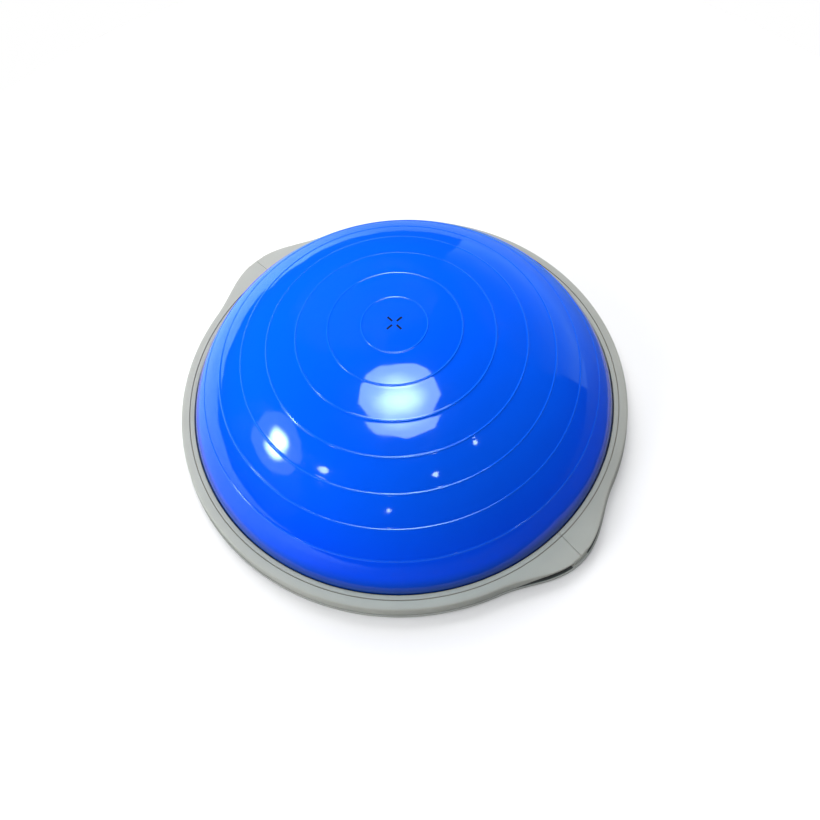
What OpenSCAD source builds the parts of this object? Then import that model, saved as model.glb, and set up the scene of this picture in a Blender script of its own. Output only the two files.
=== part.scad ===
// Balance dome trainer: a soft ridged air dome clamped on a rigid round platform.
// +Z is up, +X points at one handle, and the origin is on the floor under the dome's centre.

/* [Dome] */
// Height of the dome's crown above the floor
dome_top = 190; // [160:1:230]
// Outer radius of the dome's neck, where it goes into the rim
neck_r = 280.6; // [230:0.1:340]
// How far the dome's widest level would lie outside its neck
dome_swell = 3.4; // [2:0.1:8]
// Thickness of the moulded dome skin
skin_t = 3; // [2:0.1:5]
// Number of ridges
ridge_count = 7; // [3:1:9]
// Way over the skin from the crown to the first ridge
ridge_start = 40; // [25:0.5:60]
// Way over the skin from the last ridge to the neck
ridge_end = 55.6; // [40:0.5:120]
// Radius of a ridge's round section
ridge_r = 1.1; // [0.5:0.1:2]

/* [Bladder edge] */
// Thickness of the dome's flange, which the rim clamps
flange_t = 3; // [2:0.1:5]
// Width of the flange outside the neck
flange_w = 7.4; // [5:0.1:12]
// Width of the weld land inside the neck
weld_w = 12; // [8:1:30]
// Thickness of the flat bladder floor
floor_t = 2; // [1:0.1:4]

/* [Rim] */
// Height of the rim's inner lip above the flange
lip_h = 7; // [5:0.5:16]
// Width of the hollow between the rim's lip and its outer wall
hollow_w = 5.3; // [4.4:0.1:20]
// Gap between the tray's upright wall and the rim's screw bosses
upright_gap = 0.3; // [0.2:0.1:1]
// Fall of the rim's top across its width at the handle
rim_fall = 6; // [3:0.5:8]
// Gap between the dome's neck and the lip
neck_gap = 0.8; // [0.4:0.1:2]
// Width of the lip inside the groove
lip_w = 6.4; // [4:0.1:9]
// Width and depth of the groove round the lip
groove = 1.2; // [0.6:0.1:2]
// Wall thickness of the rim moulding
rim_wall = 3; // [2:0.1:4]
// Gap between the two rim halves at each seam
seam_gap = 0.3; // [0.1:0.1:1]

/* [Handles] */
// How far a handle stands out of the round rim
handle_out = 21.5; // [12:0.5:40]
// Half angle that a handle's swell covers
handle_half = 20; // [16:1:24]
// Half angle that a handle's two finger slots cover
slot_angle = 16.25; // [12:0.25:18]
// Depth of a slot's roof below the inner face of the rim's top
slot_drop = 0.5; // [0:0.1:3]
// Width of the post between the two slots
post_w = 24; // [18:1:36]
// Thickness that the rim gains over the post, below the slots' roof
pad_t = 2.5; // [1:0.1:4]
// Distance from the lip's outer side to the post
post_back = 5.1; // [2:0.1:7]
// Distance from a post's side to its screw
post_screw_edge = 5; // [4:0.1:6]

/* [Base platform] */
// Height of the base plate's underside
plate_z = 3; // [2:0.5:5]
// Thickness of the base plate
plate_t = 3; // [2.6:0.1:5]
// How far the base plate stands out past the rim
plate_lip = 2; // [0:0.1:4]
// Radius of the valve well in the middle
well_r = 26; // [22:1:32]

/* [Support tray] */
// Height of the tray's ribs, between the base plate and the bladder
rib_h = 8; // [6:0.5:14]
// Thickness of the ribs
rib_t = 2.5; // [1.5:0.1:4]
// Drop of the spokes' tops below the rings' tops
spoke_drop = 0.5; // [0.2:0.1:1]
// Thickness of the tray's web
web_t = 1.2; // [0.8:0.1:2]
// Number of spokes
spoke_count = 16; // [8:8:24]
// Number of evenly spaced rings from the bezel outwards
ring_count = 6; // [3:1:8]
// Distance of the outermost evenly spaced ring inside the flange's edge
ring_inset = 22; // [12:1:40]
// Distance of the edge ring inside the flange's edge
edge_inset = 5; // [3:0.5:8]
// Radius of a foot screw's boss
foot_boss_r = 5; // [4:0.1:8]
// Room between the flange's edge and the tray's upright wall
stop_gap = 0.8; // [0.4:0.1:1.5]
// Thickness of the upright wall, which stops the flange and carries the rim
stop_t = 2.6; // [2:0.1:4]

/* [Valve] */
// Width of the bezel that lines the well
bezel_w = 14; // [12:0.5:24]
// Wall thickness of the bezel
bezel_t = 2.5; // [1.6:0.1:4]
// Radius of the air hole
air_r = 4.05; // [3:0.05:6]
// Clearance between the plug's stem and the air hole
stem_gap = 0.05; // [0.02:0.01:0.1]
// Radius of the seat's neck
seat_r = 9; // [7.5:0.1:12]
// Radius of the seat's flange inside the bladder
seat_flange_r = 20; // [16:0.5:24]
// How far the seat's neck hangs below the bladder floor
seat_drop = 5; // [3:0.1:8]
// Radius of the plug's head
plug_r = 8; // [6.6:0.1:10]
// Thickness of the plug's head
plug_t = 2.4; // [1.5:0.1:3]

/* [Feet] */
// Number of rubber feet
foot_count = 8; // [8:1:8]
// Radius of a foot
foot_r = 16; // [12:0.5:22]
// Distance of the feet's middles inside the dome's neck
foot_inset = 28.6; // [26:0.1:80]
// Depth of the recess that a foot sits in
foot_seat = 1; // [0.5:0.1:1.5]

/* [Screws] */
// Number of rim screws in each rim half
rim_screws_each = 12; // [6:1:12]
// Angle of the first rim screw from a seam
first_screw = 24; // [22:1:30]
// Radius of a screw's core
screw_r = 1.45; // [1:0.05:1.8]
// Radius of a screw's head
head_r = 3.6; // [3:0.1:4]
// Thickness of a screw's head
head_t = 1.6; // [1:0.1:2]
// Clearance round a screw's core
screw_gap = 0.05; // [0.02:0.01:0.2]

/* [Hidden] */
$fn = 96;

plate_top = plate_z + plate_t;        // inside face of the base plate
floor_z = plate_top + rib_h;          // rib tops, under the bladder floor
weld_z = floor_z + floor_t;           // weld between floor and flange
flange_top = weld_z + flange_t;       // face that the lip presses on
rim_top = flange_top + lip_h;         // top of the lip
lip_r = neck_r + neck_gap;            // inner edge of the rim
groove_r = lip_r + lip_w;             // middle of the groove
flange_r = neck_r + flange_w;         // outer edge of the flange
stop_r = flange_r + stop_gap;         // inner face of the upright wall
pocket_r = stop_r + stop_t + upright_gap; // inner side of the rim's hollow
rim_r = pocket_r + hollow_w + rim_wall;   // outer radius away from the handles
handle_r = rim_r + handle_out;        // outer radius in the middle of a handle
boss_r = pocket_r + hollow_w / 2;     // circle of the rim screws
screw_boss_r = hollow_w / 2 + 0.7;    // a boss reaches into both walls
tip_cover = 8;                        // from a rim screw's tip up to the lip's top
rim_screw_tip = rim_top - tip_cover;
post_screw_bite = 5;                  // way that a post screw goes into the rim
foot_head_z = 1;                      // height of a foot screw's head above the floor
foot_tip_cover = 3;                   // from a foot screw's tip up to the rib tops
foot_screw_len = floor_z - foot_tip_cover - foot_head_z;
foot_ring = neck_r - foot_inset;      // circle of the feet
edge_ring_r = flange_r - edge_inset;       // outer ring of the support tray
bezel_r = well_r + bezel_w;           // hole in the plate and the tray for the bezel
hole_gap = 0.7;                       // extra radius of a through hole round a screw core
head_gap = 0.2;                       // room round a screw's head in its recess
foot_gap = 0.3;                       // room round a foot in its recess
post_inset = 1.2;                     // post face behind the rim's edge
slot_half = rim_r * sin(slot_angle);
post_x = pocket_r + post_back;
post_screw_x = (post_x + handle_r - post_inset) / 2;
post_screw_y = post_w / 2 - post_screw_edge;
bump_steps = 20;
eps = 0.01;

// Dome section: a superellipse, level at the crown and steep at the neck.
dome_a = neck_r + dome_swell;
dome_h = dome_top - plate_z;
round_p = 2.08;
round_q = 1.71;
dome_steps = 36;

// Point of the section at angle t, 0 at the crown, with the skin's inset.
function dome_pt(t, inset = 0) =
    [(dome_a - inset) * pow(sin(t), 2 / round_p),
     plate_z + (dome_h - inset) * pow(cos(t), 2 / round_q)];
// Angle at which the section reaches radius r.
function dome_angle(r, inset = 0) = asin(pow(r / (dome_a - inset), round_p / 2));
// Angle that lies a given way over the skin from angle t.
walk_step = 0.5;
function dome_walk(way, t = 0) =
    let (d = norm(dome_pt(t + walk_step) - dome_pt(t)))
    d >= way ? t + walk_step * way / d : dome_walk(way - d, t + walk_step);
// Way over the skin from the crown to angle t.
function dome_way(t) =
    t <= walk_step ? norm(dome_pt(t) - dome_pt(0))
                   : norm(dome_pt(t) - dome_pt(t - walk_step)) + dome_way(t - walk_step);
last_ridge = dome_way(dome_angle(neck_r)) - ridge_end;
ridge_ways = [
    for (i = [0 : ridge_count - 1])
        ridge_start + i * (last_ridge - ridge_start) / (ridge_count - 1)
];

// How far an outline stands out at an angle from the handle's middle.
function swell(a, out) = out * pow(cos(90 * min(1, abs(a) / handle_half)), 2);
// Height of the rim's top at radius r.
function rim_z(r) =
    rim_top - rim_fall * max(0, r - groove_r) / (handle_r - groove_r);
slot_top = rim_z(handle_r) - rim_wall - slot_drop;
slot_h = slot_top - plate_top;
post_top = slot_top - pad_t;

// Round outline with a swelling at +X and one at -X.
module outline(r, out) {
    circle(r = r);
    for (side = [0, 180])
        rotate(side)
            polygon(concat([[0, 0]], [
                for (i = [0 : bump_steps])
                    let (a = handle_half * (2 * i / bump_steps - 1))
                    (r + swell(a, out)) * [cos(a), sin(a)]
            ]));
}

module tube(r, t, z0, z1) {
    translate([0, 0, z0])
        difference() {
            cylinder(r = r + t / 2, h = z1 - z0);
            translate([0, 0, -1]) cylinder(r = r - t / 2, h = z1 - z0 + 2);
        }
}

module on_ring(angles, r) {
    for (a = angles) rotate(a) translate([r, 0, 0]) children();
}

function half_screws(side) = [
    for (i = [0 : rim_screws_each - 1])
        side + first_screw + i * (180 - 2 * first_screw) / (rim_screws_each - 1)
];
rim_screw_angles = concat(half_screws(0), half_screws(180));
function foot_angle(i) = (i - 0.5) * 360 / foot_count;
foot_angles = [for (i = [1 : foot_count]) foot_angle(i)];

module at_post_screws(side) {
    for (y = [-1, 1])
        rotate(side) translate([post_screw_x, y * post_screw_y, 0]) children();
}

// Footprint of the post, inside the handle's edge.
module post_plan() {
    intersection() {
        outline(rim_r - post_inset, handle_out);
        translate([post_x, -post_w / 2]) square([handle_r, post_w]);
    }
}

module base_platform() {
    color([0.66, 0.67, 0.65])
        difference() {
            translate([0, 0, plate_z]) linear_extrude(plate_t)
                outline(rim_r + plate_lip, handle_out + plate_lip / 2);
            translate([0, 0, plate_z - 1]) cylinder(r = bezel_r, h = plate_t + 2);
            on_ring(rim_screw_angles, boss_r) plate_hole();
            for (side = [0, 180]) at_post_screws(side) plate_hole();
            on_ring(foot_angles, foot_ring) {
                translate([0, 0, plate_z - 1]) cylinder(r = foot_r + foot_gap, h = foot_seat + 1);
                translate([0, 0, plate_z - 1]) cylinder(r = screw_r + hole_gap, h = plate_t + 2);
            }
        }
}

// Ribbed tray that carries the bladder's floor, with an upright wall round the flange.
// The foot screws hold it on the base plate.
module support_tray() {
    first_r = bezel_r + rib_t / 2;
    wall_r = stop_r + stop_t / 2;
    step = (flange_r - ring_inset - first_r) / (ring_count - 1);
    rings = concat([for (i = [1 : ring_count - 1]) first_r + i * step], [edge_ring_r]);
    root = plate_top + web_t / 2;
    color([0.45, 0.46, 0.47])
        difference() {
            union() {
                rotate_extrude()
                    polygon([
                        [bezel_r, plate_top], [stop_r + stop_t, plate_top],
                        [stop_r + stop_t, flange_top], [stop_r, flange_top],
                        [stop_r, plate_top + web_t], [bezel_r + rib_t, plate_top + web_t],
                        [bezel_r + rib_t, floor_z], [bezel_r, floor_z]
                    ]);
                for (r = rings) tube(r, rib_t, root, floor_z);
                for (i = [0 : spoke_count - 1])
                    rotate((i + 0.5) * 360 / spoke_count)
                        translate([first_r, -rib_t / 2, root])
                            cube([wall_r - first_r, rib_t, floor_z - spoke_drop - root]);
                on_ring(foot_angles, foot_ring)
                    translate([0, 0, root]) cylinder(r = foot_boss_r, h = floor_z - 1 - root);
            }
            on_ring(foot_angles, foot_ring)
                translate([0, 0, plate_top - 1])
                    cylinder(r = screw_r + screw_gap, h = foot_head_z + foot_screw_len - plate_top + 1);
        }
}

// Hole for a screw from below, with a flat recess for its head.
module plate_hole() {
    translate([0, 0, plate_z - 1]) cylinder(r = screw_r + hole_gap, h = plate_t + 2);
    translate([0, 0, plate_z - 1]) cylinder(r = head_r + head_gap, h = head_t + 1);
}

// Everything under the rim's top face, lowered by a given wall.
module under_top(drop, r_in) {
    far = handle_r + 2;
    rotate_extrude()
        polygon(concat(
            [[r_in, plate_top - 1], [far, plate_top - 1], [far, rim_z(far) - drop]],
            r_in < groove_r ? [[groove_r, rim_top - drop]] : [],
            [[r_in, rim_z(r_in) - drop]]
        ));
}

// Cut through the wall of the handle at +X: a finger slot on each side of the post.
module slots() {
    far = handle_r + 5;
    flat = 0.62;                      // share of the half length at full height
    bend = [0.86, 0.55];              // shares of length and height where the roof bends down
    right = [
        [post_w / 2, post_top], [post_w / 2, slot_top], [slot_half * flat, slot_top],
        [slot_half * bend.x, plate_top + slot_h * bend.y], [slot_half, plate_top],
        [slot_half, plate_top - 1]
    ];
    left = [for (i = [len(right) - 1 : -1 : 0]) [-right[i].x, right[i].y]];
    translate([far, 0, 0]) rotate([90, 0, -90])
        linear_extrude(far - pocket_r - 0.5) polygon(concat(left, right));
}

// Space between the lip and the outer wall, with the screw bosses and post pads left standing.
module rim_hollow() {
    difference() {
        intersection() {
            translate([0, 0, plate_top - 1]) linear_extrude(rim_top)
                outline(rim_r - rim_wall, handle_out);
            under_top(rim_wall, pocket_r);
        }
        on_ring(rim_screw_angles, boss_r) cylinder(r = screw_boss_r, h = rim_top + 1);
        for (side = [0, 180])
            rotate(side) translate([post_x, -post_w / 2, post_top])
                cube([handle_r, post_w, rim_top]);
    }
}

// One half of the rim: y_side is +1 for the rear and -1 for the front.
module rim_half(y_side) {
    far = 2 * handle_r;
    color([0.69, 0.70, 0.67])
        difference() {
            intersection() {
                translate([0, 0, plate_top]) linear_extrude(rim_top) outline(rim_r, handle_out);
                under_top(0, lip_r);
            }
            translate([0, 0, plate_top - 1])
                cylinder(r = pocket_r, h = flange_top - plate_top + 1);
            rim_hollow();
            tube(groove_r, groove, rim_top - groove, rim_top + 1);
            for (side = [0, 180]) rotate(side) slots();
            on_ring(half_screws(y_side > 0 ? 0 : 180), boss_r)
                translate([0, 0, plate_top - 1])
                    cylinder(r = screw_r + screw_gap, h = rim_screw_tip - plate_top + 1);
            for (side = [0, 180])
                at_post_screws(side)
                    translate([0, 0, post_top - 1])
                        cylinder(r = screw_r + screw_gap, h = post_screw_bite + 1);
            translate([-far / 2, y_side > 0 ? seam_gap / 2 - far : -seam_gap / 2, -1])
                cube([far, far, far]);
        }
}

module handle_post(side) {
    color([0.62, 0.64, 0.66])
        difference() {
            rotate(side) translate([0, 0, plate_top]) linear_extrude(post_top - plate_top)
                post_plan();
            at_post_screws(side)
                translate([0, 0, plate_top - 1]) cylinder(r = screw_r + hole_gap, h = post_top);
        }
}

module dome_bladder() {
    inner_r = neck_r - skin_t;
    t_out = dome_angle(neck_r);
    t_in = dome_angle(inner_r, skin_t);
    outer = [for (i = [1 : dome_steps]) dome_pt(t_out * i / dome_steps)];
    inner = [for (i = [dome_steps : -1 : 1]) dome_pt(t_in * i / dome_steps, skin_t)];
    color([0, 0.33, 0.95])
        union() {
            rotate_extrude()
                polygon(concat(
                    [[0, dome_top]], outer,
                    [[neck_r, flange_top], [flange_r, flange_top], [flange_r, weld_z],
                     [neck_r - weld_w, weld_z], [neck_r - weld_w, flange_top],
                     [inner_r, flange_top]],
                    inner, [[0, dome_top - skin_t]]
                ));
            for (way = ridge_ways)
                rotate_extrude()
                    translate(dome_pt(dome_walk(way))) circle(r = ridge_r, $fn = 24);
        }
}

module bladder_floor() {
    color([0, 0.28, 0.8])
        difference() {
            translate([0, 0, floor_z]) cylinder(r = flange_r, h = floor_t);
            translate([0, 0, floor_z - 1]) cylinder(r = seat_r, h = floor_t + 2);
        }
}

// Ring that lines the well, pressed into the base plate from above.
module valve_bezel() {
    color([0.6, 0.61, 0.6])
        rotate_extrude()
            polygon([
                [well_r, plate_z], [bezel_r, plate_z], [bezel_r, plate_top],
                [well_r + bezel_t, plate_top], [well_r + bezel_t, floor_z], [well_r, floor_z]
            ]);
}

// Collar welded into the bladder floor, with the air hole through it.
module valve_seat() {
    low = floor_z - seat_drop;
    color([0.12, 0.13, 0.15])
        rotate_extrude()
            polygon([
                [air_r, low], [seat_r, low], [seat_r, weld_z], [seat_flange_r, weld_z],
                [seat_flange_r, weld_z + 1.2], [seat_r + 2, weld_z + 3], [air_r, weld_z + 3]
            ]);
}

// Push-in plug, pulled out downwards to let air in or out.
module valve_plug() {
    stem = air_r - stem_gap;
    low = floor_z - seat_drop;
    top = weld_z + 2;
    color([0.9, 0.9, 0.88])
        rotate_extrude()
            polygon([
                [0, low - plug_t], [plug_r - 0.8, low - plug_t], [plug_r, low - plug_t + 0.8],
                [plug_r, low - 0.5], [plug_r - 0.5, low], [stem, low], [stem, top - 2],
                [stem - 1, top], [0, top]
            ]);
}

module foot_pad(i) {
    color([0.13, 0.13, 0.14])
        rotate(foot_angle(i)) translate([foot_ring, 0, 0])
            difference() {
                rotate_extrude()
                    polygon([
                        [0, 0], [foot_r - 1, 0], [foot_r, 1], [foot_r, plate_z + foot_seat],
                        [0, plate_z + foot_seat]
                    ]);
                translate([0, 0, -1]) cylinder(r = head_r + 0.3, h = head_t + 2);
                translate([0, 0, -1]) cylinder(r = screw_r + screw_gap, h = plate_z + 4);
            }
}

// Pan-head screw standing on its head, with a cross recess.
module screw(length) {
    difference() {
        union() {
            cylinder(r = head_r, h = head_t);
            cylinder(r = screw_r, h = length);
        }
        for (a = [0, 90])
            rotate(a) translate([-2, -0.4, -1]) cube([4, 0.8, 1.8]);
    }
}

module rim_screws() {
    color("silver")
        on_ring(rim_screw_angles, boss_r)
            translate([0, 0, plate_z]) screw(rim_screw_tip - plate_z);
}

module post_screws() {
    color("silver")
        for (side = [0, 180])
            at_post_screws(side) translate([0, 0, plate_z]) screw(post_top + post_screw_bite - plate_z);
}

module foot_screws() {
    color("silver")
        on_ring(foot_angles, foot_ring) translate([0, 0, foot_head_z]) screw(foot_screw_len);
}

base_platform();
support_tray();
rim_half(-1);  // rim_half_front
rim_half(1);  // rim_half_rear
handle_post(0);  // handle_post_right
handle_post(180);  // handle_post_left
dome_bladder();
bladder_floor();
valve_bezel();
valve_seat();
valve_plug();
foot_pad(1);  // foot_pad_1
foot_pad(2);  // foot_pad_2
foot_pad(3);  // foot_pad_3
foot_pad(4);  // foot_pad_4
foot_pad(5);  // foot_pad_5
foot_pad(6);  // foot_pad_6
foot_pad(7);  // foot_pad_7
foot_pad(8);  // foot_pad_8
rim_screws();
post_screws();
foot_screws();
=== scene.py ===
import math
import bmesh
import bpy
from mathutils import Matrix, Vector


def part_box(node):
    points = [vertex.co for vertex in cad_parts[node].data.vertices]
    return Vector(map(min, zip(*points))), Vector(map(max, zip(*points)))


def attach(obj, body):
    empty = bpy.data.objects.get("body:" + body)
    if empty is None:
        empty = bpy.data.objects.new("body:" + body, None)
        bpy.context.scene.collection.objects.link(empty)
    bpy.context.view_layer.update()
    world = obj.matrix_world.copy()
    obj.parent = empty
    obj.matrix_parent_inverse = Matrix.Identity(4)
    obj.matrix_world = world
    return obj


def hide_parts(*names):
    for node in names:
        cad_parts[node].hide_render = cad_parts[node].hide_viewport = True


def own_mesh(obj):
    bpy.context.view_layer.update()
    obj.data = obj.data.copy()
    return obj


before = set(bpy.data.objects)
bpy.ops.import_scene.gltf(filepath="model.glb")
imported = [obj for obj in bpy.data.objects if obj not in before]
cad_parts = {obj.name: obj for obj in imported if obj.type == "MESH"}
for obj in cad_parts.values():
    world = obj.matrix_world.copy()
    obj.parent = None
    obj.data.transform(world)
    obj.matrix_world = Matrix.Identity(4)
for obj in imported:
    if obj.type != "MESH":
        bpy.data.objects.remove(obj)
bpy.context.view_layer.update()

# ---------------------------------------------------------------- base platform
# The flat lower plate, which a user stands on when the trainer is turned over: one injection
# moulding of grey polypropylene, with a round hole for the valve's well, screw holes with recesses,
# seats for the feet and a field of grip pips underneath.

MM = 0.001


class Wire:
    """A node's socket that takes part in Python sums: each sum adds its Math node."""

    def __init__(self, tree, socket):
        self.tree = tree
        self.socket = socket

    def math(self, operation, *values):
        return self.tree.node("ShaderNodeMath", {"operation": operation}, dict(enumerate(values)))

    def __add__(self, other):
        return self.math("ADD", self, other)

    def __sub__(self, other):
        return self.math("SUBTRACT", self, other)

    def __rsub__(self, other):
        return self.math("SUBTRACT", other, self)

    def __mul__(self, other):
        return self.math("MULTIPLY", self, other)

    def __truediv__(self, other):
        return self.math("DIVIDE", self, other)

    def __abs__(self):
        return self.math("ABSOLUTE", self)

    __radd__ = __add__
    __rmul__ = __mul__


class Nodes:
    """A node tree that is written one call to a node."""

    def __init__(self, tree):
        self.tree = tree

    def feed(self, socket, value):
        if isinstance(value, Wire):
            self.tree.links.new(value.socket, socket)
        else:
            socket.default_value = value

    def node(self, kind, settings=None, values=None, out=0):
        made = self.tree.nodes.new(kind)
        for key, value in (settings or {}).items():
            if key == "stops":
                made.color_ramp.elements[1].position = 1.0
                for place, colour in value[1:-1]:
                    made.color_ramp.elements.new(place)
                for element, (place, colour) in zip(made.color_ramp.elements, value):
                    element.position = place
                    element.color = (*colour, 1.0)
            else:
                setattr(made, key, value)
        for key, value in (values or {}).items():
            self.feed(made.inputs[key], value)
        return Wire(self, made.outputs[out])

    def parts(self, vector):
        made = self.tree.nodes.new("ShaderNodeSeparateXYZ")
        self.feed(made.inputs[0], vector)
        return [Wire(self, made.outputs[axis]) for axis in "XYZ"]


class Finish(Nodes):
    """A material: its Principled shader, its Object coordinates and what varies over them."""

    def __init__(self, name, **uniform):
        self.material = bpy.data.materials.new(name)
        self.material.use_nodes = True
        super().__init__(self.material.node_tree)
        self.shader = self.tree.nodes["Principled BSDF"]
        for key, value in uniform.items():
            self.shader.inputs[key.replace("_", " ")].default_value = value
        self.place = self.node("ShaderNodeTexCoord", out="Object")

    def show(self, **values):
        for key, value in values.items():
            self.feed(self.shader.inputs[key.replace("_", " ")], value)

    def noise(self, scale, detail=3.0, roughness=0.5):
        return self.node("ShaderNodeTexNoise", {"noise_dimensions": "3D"},
                         {"Vector": self.place, "Scale": scale, "Detail": detail,
                          "Roughness": roughness})

    def ramp(self, value, low, high, start=0.0, end=1.0):
        return self.node("ShaderNodeMapRange", {"interpolation_type": "SMOOTHSTEP"},
                         {"Value": value, "From Min": low, "From Max": high,
                          "To Min": start, "To Max": end})

    def mix(self, share, first, second):
        return self.node("ShaderNodeMix", {"data_type": "RGBA", "clamp_factor": True},
                         {"Factor": share, 6: (*first, 1.0) if isinstance(first, tuple) else first,
                          7: (*second, 1.0) if isinstance(second, tuple) else second}, out=2)

    def bump(self, height, distance, under=None):
        values = {"Height": height, "Distance": distance, "Strength": 1.0}
        if under:
            values["Normal"] = under
        return self.node("ShaderNodeBump", None, values)


def moulded(name, light, dark, grain=0.00006, rough=0.46):
    """Satin polypropylene: a fine spark-eroded grain, faint flow marks and dull scuffs."""
    finish = Finish(name, Specular_IOR_Level=0.42)
    flow = finish.noise(14.0, 2.0)
    speck = finish.noise(620.0, 2.0, 0.6)
    scuff = finish.ramp(finish.noise(90.0, 5.0, 0.7), 0.56, 0.72)
    colour = finish.mix(finish.ramp(flow, 0.3, 0.7), light, dark)
    colour = finish.mix(scuff * 0.12, colour, tuple(min(1.0, c * 1.25) for c in light))
    finish.show(Base_Color=colour,
                Roughness=rough + speck * 0.12 + scuff * 0.1,
                Normal=finish.bump(speck + scuff * 0.4, grain))
    return finish


def linked(name, mesh):
    thing = bpy.data.objects.new(name, mesh)
    bpy.context.scene.collection.objects.link(thing)
    return thing


def plain_mesh(name, points, faces=()):
    mesh = bpy.data.meshes.new(name)
    mesh.from_pydata([Vector(p) for p in points], [], faces)
    return mesh


def cleaned(thing, sharp=32.0):
    """Merges doubles, turns the faces outwards and shades smoothly up to the sharp angle."""
    shape = bmesh.new()
    shape.from_mesh(thing.data)
    bmesh.ops.remove_doubles(shape, verts=shape.verts, dist=2e-6)
    bmesh.ops.dissolve_degenerate(shape, edges=shape.edges, dist=1e-6)
    bmesh.ops.recalc_face_normals(shape, faces=shape.faces)
    for face in shape.faces:
        face.smooth = True
    shape.to_mesh(thing.data)
    shape.free()
    thing.data.set_sharp_from_angle(angle=math.radians(sharp))
    return thing


def new_tree(name, **inputs):
    """An empty Geometry Nodes tree with named inputs, and the wires that leave them."""
    tree = bpy.data.node_groups.new(name, "GeometryNodeTree")
    tree.interface.new_socket("Geometry", in_out="INPUT", socket_type="NodeSocketGeometry")
    for key, kind in inputs.items():
        tree.interface.new_socket(key, in_out="INPUT", socket_type="NodeSocket" + kind)
    tree.interface.new_socket("Geometry", in_out="OUTPUT", socket_type="NodeSocketGeometry")
    maker = Nodes(tree)
    start = tree.nodes.new("NodeGroupInput")
    return maker, {socket.name: Wire(maker, socket) for socket in start.outputs if socket.name}


def close_tree(maker, geometry, material):
    """Ends a tree in Realize Instances and Set Material."""
    whole = maker.node("GeometryNodeRealizeInstances", None, {0: geometry})
    painted = maker.node("GeometryNodeSetMaterial", None, {0: whole, "Material": material})
    maker.feed(maker.tree.nodes.new("NodeGroupOutput").inputs[0], painted)


def grown(name, start, maker, **inputs):
    """Runs a tree on the mesh start and keeps what it makes as a plain mesh."""
    thing = linked(name, start)
    modifier = thing.modifiers.new("build", "NODES")
    modifier.node_group = maker.tree
    for socket in maker.tree.interface.items_tree:
        if socket.in_out == "INPUT" and socket.name in inputs:
            modifier[socket.identifier] = inputs[socket.name]
    bpy.context.view_layer.update()
    seen = thing.evaluated_get(bpy.context.evaluated_depsgraph_get())
    made = bpy.data.meshes.new_from_object(seen)
    thing.modifiers.remove(modifier)
    thing.data = made
    return thing


# Spinning tree: each point of a section becomes a ring of points about the Z axis.
spin, wires = new_tree("spin_section", Steps="Int", Finish="Material")
count = spin.node("GeometryNodeAttributeDomainSize", {"component": "MESH"}, {0: wires["Geometry"]})
grid = spin.node("GeometryNodeMeshGrid", None,
                 {"Vertices X": wires["Steps"] + 1, "Vertices Y": count})
index = spin.node("GeometryNodeInputIndex")
column = (index / count).math("FLOOR", index / count + 1e-4)
sampled = spin.node("GeometryNodeSampleIndex", {"data_type": "FLOAT_VECTOR"},
                    {"Geometry": wires["Geometry"], "Value": spin.node("GeometryNodeInputPosition"),
                     "Index": index - column * count})
section_r, _, section_z = spin.parts(sampled)
angle = column / wires["Steps"] * math.tau
turned_point = spin.node("ShaderNodeCombineXYZ", None,
                         {"X": section_r * angle.math("COSINE", angle),
                          "Y": section_r * angle.math("SINE", angle), "Z": section_z})
moved = spin.node("GeometryNodeSetPosition", None, {0: grid, "Position": turned_point})
close_tree(spin, moved, wires["Finish"])

# Placing tree: one copy of a part at each point, turned about Z by the point's own angle.
place, wires = new_tree("place_parts", Part="Object", Finish="Material")
part = place.node("GeometryNodeObjectInfo", None, {"Object": wires["Part"]}, out="Geometry")
turn = place.node("GeometryNodeInputNamedAttribute", {"data_type": "FLOAT"}, {"Name": "turn"})
copies = place.node("GeometryNodeInstanceOnPoints", None,
                    {"Points": wires["Geometry"], "Instance": part,
                     "Rotation": place.node("ShaderNodeCombineXYZ", None, {"Z": turn})})
close_tree(place, copies, wires["Finish"])


def arc_corners(corners, steps=4):
    """A section's outline from corners (r, z, fillet), with the fillets as arcs."""
    points = []
    for i, (r, z, fillet) in enumerate(corners):
        here = Vector((r, z))
        to_last = Vector(corners[i - 1][:2]) - here
        to_next = Vector(corners[(i + 1) % len(corners)][:2]) - here
        reach = min(fillet, 0.45 * to_last.length, 0.45 * to_next.length)
        if fillet <= 0 or reach < 1e-7:
            points += [(r, z)] * (steps + 1 if fillet > 0 else 1)
            continue
        start = here + to_last.normalized() * reach
        end = here + to_next.normalized() * reach
        for k in range(steps + 1):
            t = k / steps
            points.append(tuple(start * (1 - t) ** 2 + here * 2 * t * (1 - t) + end * t ** 2))
    return points


def turned(name, section, finish, steps=96, ring=True, sharp=32.0):
    """A piece turned from a section of (r, z); a ring's section closes on itself."""
    outline = list(section) + ([section[0]] if ring else [])
    start = plain_mesh(name, [(r, 0.0, z) for r, z in outline])
    return cleaned(grown(name, start, spin, Steps=steps, Finish=finish.material), sharp)


def placed(name, part, spots, finish):
    """Copies of a part at spots (x, y, z, turn); the part itself is removed."""
    start = plain_mesh(name, [spot[:3] for spot in spots])
    turns = start.attributes.new("turn", "FLOAT", "POINT")
    turns.data.foreach_set("value", [spot[3] for spot in spots])
    thing = grown(name, start, place, Part=part, Finish=finish.material)
    bpy.data.objects.remove(part)
    return cleaned(thing)


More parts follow.
